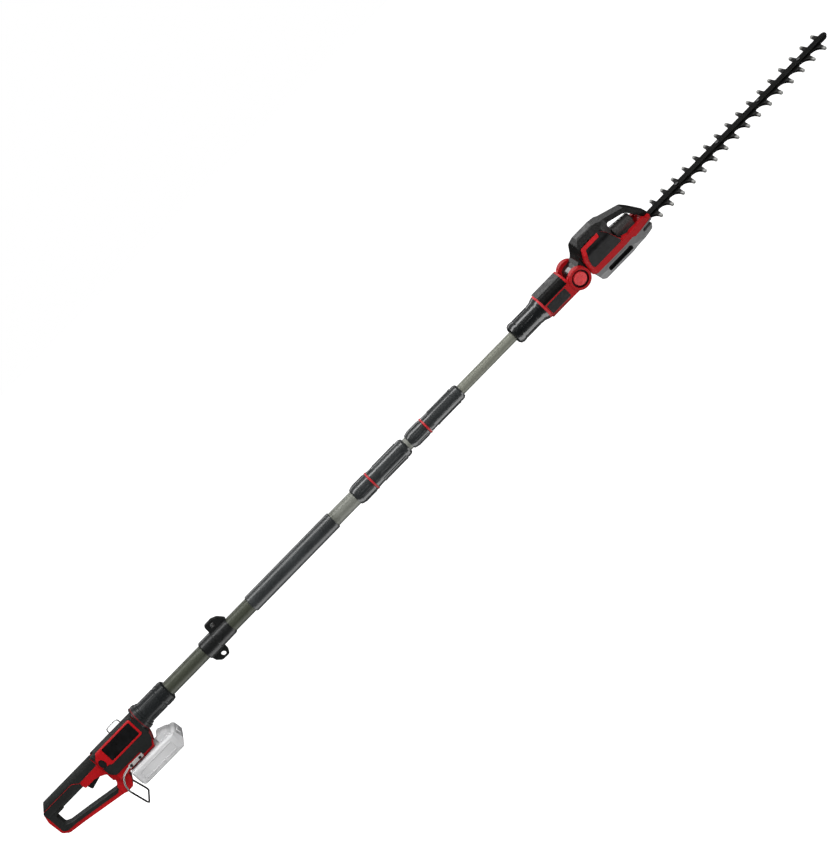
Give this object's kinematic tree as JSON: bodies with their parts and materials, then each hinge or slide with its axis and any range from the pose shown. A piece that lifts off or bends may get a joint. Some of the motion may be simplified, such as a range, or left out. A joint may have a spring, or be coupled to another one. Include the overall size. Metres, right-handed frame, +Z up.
{
  "type": "hedge trimmer",
  "caption": "Cordless telescopic pole hedge trimmer: D-handle with battery, twist-lock pole, strap clamp, tilting motor head and long double-edged reciprocating blade.",
  "frame": {"origin": "centre of the carrying eye's hole in the strap clamp, in the middle plane of the handle", "axes": "+X along the pole towards the blade, +Z up from the handle's belly to its grip, +Y to the left side"},
  "size_m": [1.9018, 0.0799, 0.1579],
  "materials": {
    "red_shell": "moulded red nylon with a satin gloss",
    "soft_black": "fine-grained soft-touch overmould",
    "gloss_black": "polished black plate",
    "black_plastic": "spark-eroded black plastic",
    "grey_plastic": "dark grey moulded plastic, satin",
    "pale_plastic": "natural acetal",
    "anodised_tube": "olive-grey anodised, fine drawn lines",
    "foam": "closed-cell foam, matt",
    "frosted_pack": "pale grey satin plastic",
    "black_steel": "black phosphated or painted steel",
    "plain_steel": "bright steel"
  },
  "bodies": {
    "handle": {"shell_right": "red_shell", "shell_left": "red_shell", "cover_right": "soft_black", "cover_left": "soft_black", "label_right": "gloss_black", "label_left": "gloss_black", "grip_pad": "soft_black", "loop_lining": "soft_black", "trigger_spring": "plain_steel", "switch_module": "black_plastic", "terminal_block": "black_plastic", "stand_plates": "plain_steel", "stand_screws": "black_steel", "stand_wire": "black_steel", "hanging_eye": "plain_steel", "rear_sleeve": "black_plastic", "rear_seal": "red_shell", "handle_screws": "black_steel", "lower_tube": "anodised_tube", "foam_grip": "foam", "lock1_base": "grey_plastic", "lock1_ring": "red_shell"},
    "trigger": {"trigger": "black_plastic"},
    "lockoff_button": {"lockoff_button": "black_plastic"},
    "battery": {"battery_pack": "frosted_pack"},
    "battery_button": {"battery_button": "frosted_pack"},
    "strap_clamp": {"strap_clamp": "black_plastic", "clamp_screw": "plain_steel"},
    "lock1_sleeve": {"lock1_sleeve": "grey_plastic"},
    "lock1_collet": {"lock1_collet": "pale_plastic"},
    "middle_pole": {"middle_tube": "anodised_tube", "lock2_base": "grey_plastic", "lock2_ring": "red_shell", "lock2_collet": "pale_plastic"},
    "lock2_sleeve": {"lock2_sleeve": "grey_plastic"},
    "upper_pole": {"upper_tube": "anodised_tube", "front_sleeve": "black_plastic", "front_ring": "red_shell", "yoke_right": "red_shell", "yoke_left": "red_shell", "yoke_cover": "black_plastic", "yoke_label_right": "gloss_black", "yoke_label_left": "gloss_black", "pivot_bolt": "plain_steel"},
    "pivot_button_right": {"pivot_button_right": "red_shell"},
    "pivot_button_left": {"pivot_button_left": "red_shell"},
    "head": {"head_frame": "black_plastic", "side_right": "red_shell", "side_left": "red_shell", "panel_right": "gloss_black", "panel_left": "gloss_black", "lower_guard": "grey_plastic", "motor": "plain_steel", "barrel_cover": "grey_plastic", "blade_bar": "black_steel", "blade_bolts": "plain_steel"},
    "rotor": {"rotor": "plain_steel"},
    "drive_gear": {"drive_gear": "plain_steel"},
    "blade_upper": {"blade_upper": "plain_steel"},
    "blade_lower": {"blade_lower": "plain_steel"}
  },
  "joints": [
    {"name": "trigger_pull", "type": "hinge", "parent": "handle", "child": "trigger", "pos_m": [-0.3, 0, 0.0156], "axis": [0, 1, 0], "range_deg": [0, 9], "stiffness_Nm_per_rad": 0.5, "springref_deg": -14.32, "deforming": ["trigger_spring"]},
    {"name": "lockoff_push", "type": "slide", "parent": "handle", "child": "lockoff_button", "axis": [0, 1, 0], "range_m": [-0.003, 0.003], "stiffness_N_per_m": 250},
    {"name": "battery_slide", "type": "slide", "parent": "handle", "child": "battery", "axis": [1, 0, 0], "range_m": [0, 0.09]},
    {"name": "battery_release", "type": "slide", "parent": "battery", "child": "battery_button", "axis": [-1, 0, 0], "range_m": [0, 0.004], "stiffness_N_per_m": 350, "springref_m": -0.004},
    {"name": "strap_clamp_slide", "type": "slide", "parent": "handle", "child": "strap_clamp", "axis": [1, 0, 0], "range_m": [-0.08, 0.045]},
    {"name": "lock1_twist", "type": "hinge", "parent": "handle", "child": "lock1_sleeve", "pos_m": [0.4, 0, 0.0256], "axis": [1, 0, 0], "range_deg": [0, 90]},
    {"name": "pole_turn", "type": "hinge", "parent": "handle", "child": "lock1_collet", "pos_m": [0.4, 0, 0.0256], "axis": [1, 0, 0], "range_deg": [-105, 75]},
    {"name": "middle_slide", "type": "slide", "parent": "lock1_collet", "child": "middle_pole", "axis": [1, 0, 0], "range_m": [0, 0.38]},
    {"name": "lock2_twist", "type": "hinge", "parent": "middle_pole", "child": "lock2_sleeve", "pos_m": [0.53, 0, 0.0256], "axis": [1, 0, 0], "range_deg": [0, 90]},
    {"name": "upper_slide", "type": "slide", "parent": "middle_pole", "child": "upper_pole", "axis": [1, 0, 0], "range_m": [0, 0.38]},
    {"name": "pivot_button_right_push", "type": "slide", "parent": "upper_pole", "child": "pivot_button_right", "axis": [0, 0.9659, 0.2588], "range_m": [0, 0.0025], "stiffness_N_per_m": 600, "springref_m": -0.003},
    {"name": "pivot_button_left_push", "type": "slide", "parent": "upper_pole", "child": "pivot_button_left", "axis": [0, -0.9659, -0.2588], "range_m": [0, 0.0025], "stiffness_N_per_m": 600, "springref_m": -0.003},
    {"name": "head_tilt", "type": "hinge", "parent": "upper_pole", "child": "head", "pos_m": [0.885, 0, 0.0256], "axis": [0, 0.9659, 0.2588], "range_deg": [-45, 90]},
    {"name": "gear_spin", "type": "hinge", "parent": "head", "child": "drive_gear", "pos_m": [0.983, 0, 0.0256], "axis": [0, -0.2588, 0.9659], "continuous": true},
    {"name": "rotor_spin", "type": "hinge", "parent": "head", "child": "rotor", "pos_m": [0.953, 0, 0.0256], "axis": [0, -0.2588, 0.9659], "continuous": true},
    {"name": "upper_blade_stroke", "type": "slide", "parent": "head", "child": "blade_upper", "axis": [1, 0, 0], "range_m": [-0.008, 0.008]},
    {"name": "lower_blade_stroke", "type": "slide", "parent": "head", "child": "blade_lower", "axis": [1, 0, 0], "range_m": [-0.008, 0.008]}
  ],
  "couplings": [
    {"joint": "rotor_spin", "follows": "gear_spin", "ratio": -4},
    {"joint": "lower_blade_stroke", "follows": "upper_blade_stroke", "ratio": -1}
  ]
}
